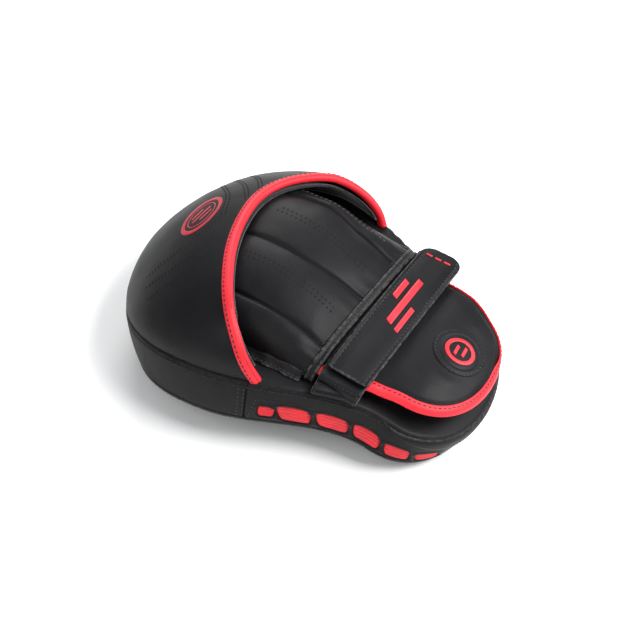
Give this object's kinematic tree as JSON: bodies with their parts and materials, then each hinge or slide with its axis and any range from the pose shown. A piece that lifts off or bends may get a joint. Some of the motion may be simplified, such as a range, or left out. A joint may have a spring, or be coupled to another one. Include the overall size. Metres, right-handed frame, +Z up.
{
  "type": "focus mitt",
  "caption": "Curved boxing focus mitt for the left hand: bent padded target with finger hood, quilted hand cover, floating wrist cuff and a hook-and-loop wrist strap.",
  "frame": {"origin": "centre of the bounding box's base: the middle of the ground that the mitt's strike face arches over, lying face down", "axes": "+X to the thumb side, +Y to the fingertips, +Z up, out of the back of the mitt"},
  "size_m": [0.1976, 0.2598, 0.1052],
  "materials": {
    "black_leather": "smooth matt synthetic leather with a fine grain",
    "strike_leather": "smooth synthetic leather, a little glossier than the rest",
    "red_binding": "red synthetic leather tape with black stitching",
    "red_rubber": "ribbed matt red rubber",
    "lining_fabric": "black knitted lining",
    "foam": "closed-cell foam",
    "gel": "soft gel sheet",
    "webbing": "black hook and loop tape",
    "red_print": "red printed and moulded marks"
  },
  "bodies": {
    "root": {"strike_face_cover": "strike_leather", "front_foam": "foam", "gel_sheet": "gel", "rear_foam": "foam", "back_panel": "black_leather", "fingertip_side_band": "black_leather", "heel_band": "black_leather", "near_side_band": "black_leather", "far_side_band": "black_leather", "near_vent_1": "red_rubber", "near_vent_2": "red_rubber", "near_vent_3": "red_rubber", "near_vent_4": "red_rubber", "near_vent_5": "red_rubber", "near_vent_6": "red_rubber", "far_vent_1": "red_rubber", "far_vent_2": "red_rubber", "far_vent_3": "red_rubber", "far_vent_4": "red_rubber", "far_vent_5": "red_rubber", "far_vent_6": "red_rubber", "hood_shell": "black_leather", "hood_padding": "foam", "hood_lining": "lining_fabric", "hood_binding": "red_binding", "hood_emblem": "red_print", "hand_cover_shell": "black_leather", "hand_cover_foam_1": "foam", "hand_cover_foam_2": "foam", "hand_cover_foam_3": "foam", "hand_cover_foam_4": "foam", "hand_cover_lining": "lining_fabric", "hand_cover_trim": "black_leather", "cuff_root_shell": "black_leather", "cuff_root_foam": "foam", "cuff_root_lining": "lining_fabric", "cuff_root_binding": "red_binding", "near_strap_tab": "black_leather", "far_strap_tab": "black_leather", "palm_dome": "black_leather"},
    "cuff": {"cuff_shell": "black_leather", "cuff_foam": "foam", "cuff_lining": "lining_fabric", "cuff_binding": "red_binding", "cuff_badge": "black_leather"},
    "strap": {"strap_shell": "black_leather", "strap_lining": "webbing"},
    "strap_tip": {"strap_tip_shell": "black_leather", "strap_tip_hook_tape": "webbing"}
  },
  "joints": [
    {"name": "cuff_lift", "type": "hinge", "parent": "root", "child": "cuff", "pos_m": [0, -0.07479, 0.0691], "axis": [-1, 0, 0], "range_deg": [-5, 35], "stiffness_Nm_per_rad": 0.3},
    {"name": "strap_swing", "type": "hinge", "parent": "root", "child": "strap", "pos_m": [-0.061, -0.03465, 0.07241], "axis": [0, -0.9951, -0.099], "range_deg": [0, 105]},
    {"name": "strap_tip_peel", "type": "hinge", "parent": "strap", "child": "strap_tip", "pos_m": [0.018, -0.04117, 0.08062], "axis": [0, -0.9911, -0.1331], "range_deg": [0, 60]}
  ]
}
